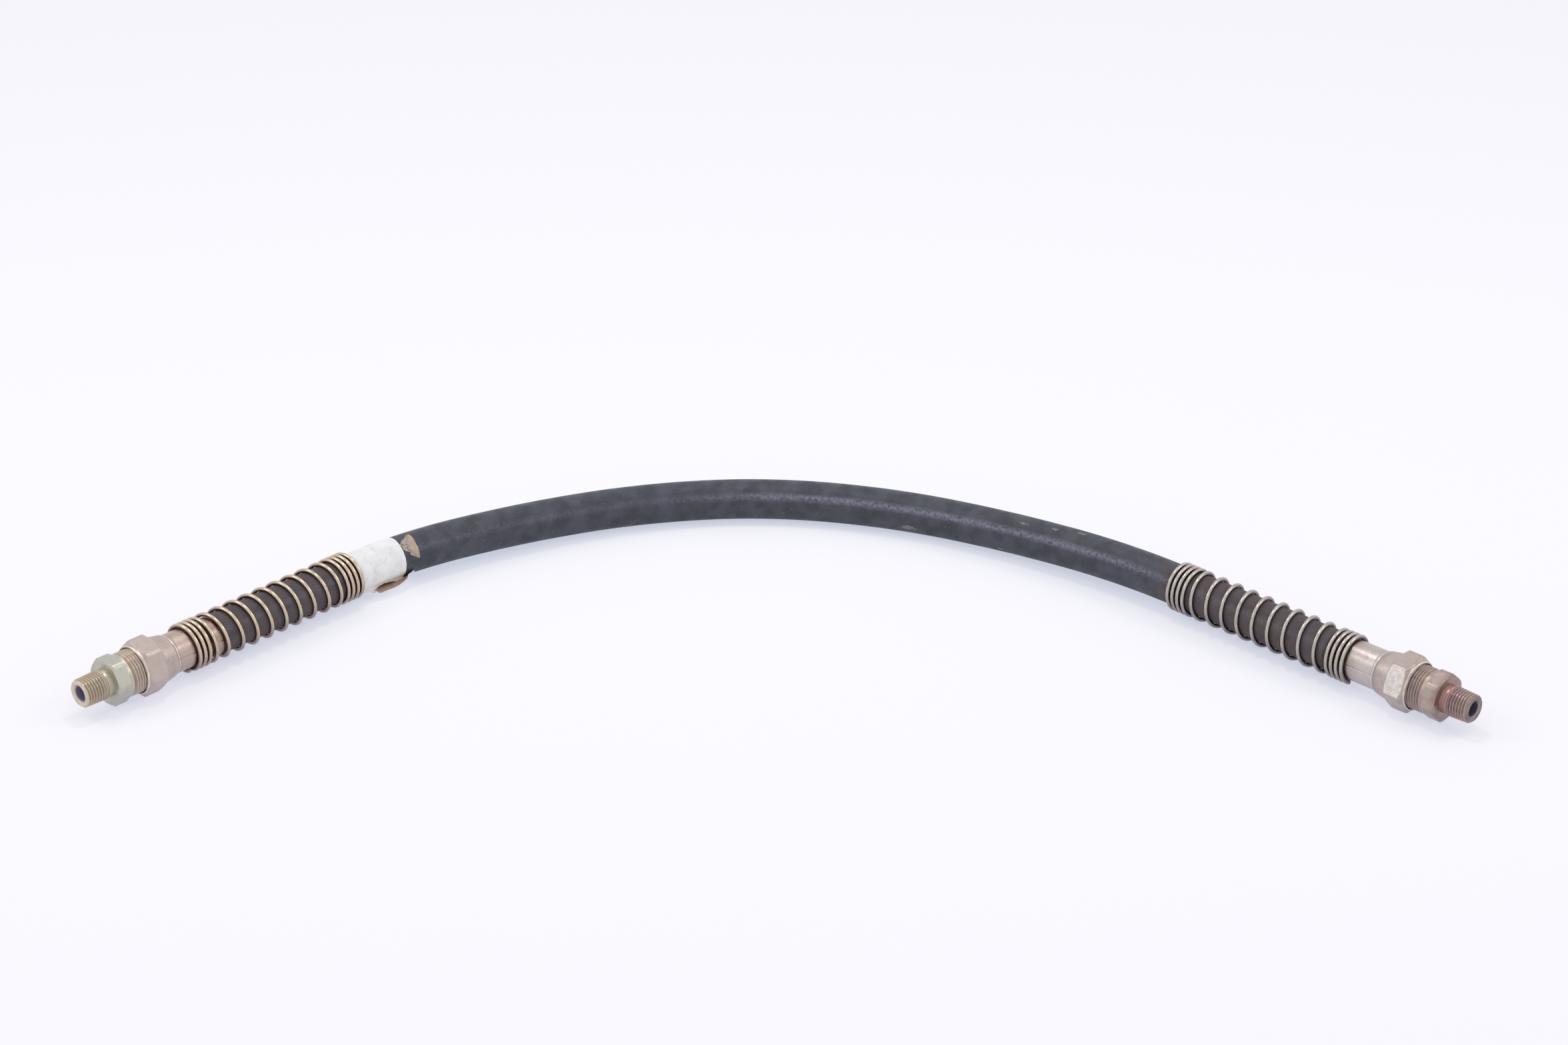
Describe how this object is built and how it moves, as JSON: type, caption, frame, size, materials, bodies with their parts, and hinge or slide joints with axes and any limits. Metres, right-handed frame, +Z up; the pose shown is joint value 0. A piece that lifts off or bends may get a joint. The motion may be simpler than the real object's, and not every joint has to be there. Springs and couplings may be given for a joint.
{
  "type": "hydraulic hose assembly",
  "caption": "Curved rubber hydraulic hose with a reusable compression fitting, male taper thread and open wire spring guard at each end; torn paper label beside one guard.",
  "frame": {"origin": "on the floor below the middle of the box round the two fittings and guards", "axes": "+X from the left end towards the right end, +Y away from the viewer towards the top of the arc, +Z up"},
  "size_m": [0.6175, 0.2198, 0.0258],
  "materials": {
    "hose_liner": "smooth",
    "hose_braid": "woven textile cord",
    "hose_cover": "matte, fine fabric impression",
    "paper_label": "torn matte paper",
    "sticker_remnant": "torn paper, tan with grey dirt",
    "left_end_body": "turned, yellow dichromated zinc plate",
    "left_nut": "turned, worn yellow dichromated zinc plate",
    "left_ferrule": "rolled strip, worn yellow zinc plate",
    "left_spring_guard": "drawn wire, bright yellow zinc plate",
    "right_end_body": "turned, darkened zinc plate",
    "right_nut": "turned, pitted zinc plate",
    "right_ferrule": "rolled strip, bright with tarnish",
    "right_spring_guard": "drawn wire, dull pitted nickel colour"
  },
  "bodies": {
    "hose": {"hose_liner": "hose_liner", "hose_braid": "hose_braid", "hose_cover": "hose_cover", "paper_label": "paper_label", "sticker_remnant": "sticker_remnant", "left_ferrule": "left_ferrule", "left_spring_guard": "left_spring_guard", "right_ferrule": "right_ferrule", "right_spring_guard": "right_spring_guard"},
    "left_end_body": {"left_end_body": "left_end_body"},
    "left_nut": {"left_nut": "left_nut"},
    "right_end_body": {"right_end_body": "right_end_body"},
    "right_nut": {"right_nut": "right_nut"}
  },
  "joints": [
    {"name": "left_body_turn", "type": "hinge", "parent": "hose", "child": "left_end_body", "pos_m": [-0.3046, -0.0498, 0.0129], "axis": [-0.6991, -0.715, 0], "range_deg": [0, 1440]},
    {"name": "left_nut_slide", "type": "slide", "parent": "hose", "child": "left_nut", "axis": [0.6991, 0.715, 0], "range_m": [0, 0.00564]},
    {"name": "right_body_turn", "type": "hinge", "parent": "hose", "child": "right_end_body", "pos_m": [0.3047, -0.0628, 0.01267], "axis": [0.7241, -0.6897, 0], "range_deg": [0, 1440]},
    {"name": "right_nut_slide", "type": "slide", "parent": "hose", "child": "right_nut", "axis": [-0.7241, 0.6897, 0], "range_m": [0, 0.00564]}
  ],
  "couplings": [
    {"joint": "left_nut_slide", "follows": "left_body_turn", "m_per_rad": 0.00022459},
    {"joint": "right_nut_slide", "follows": "right_body_turn", "m_per_rad": 0.00022459}
  ]
}
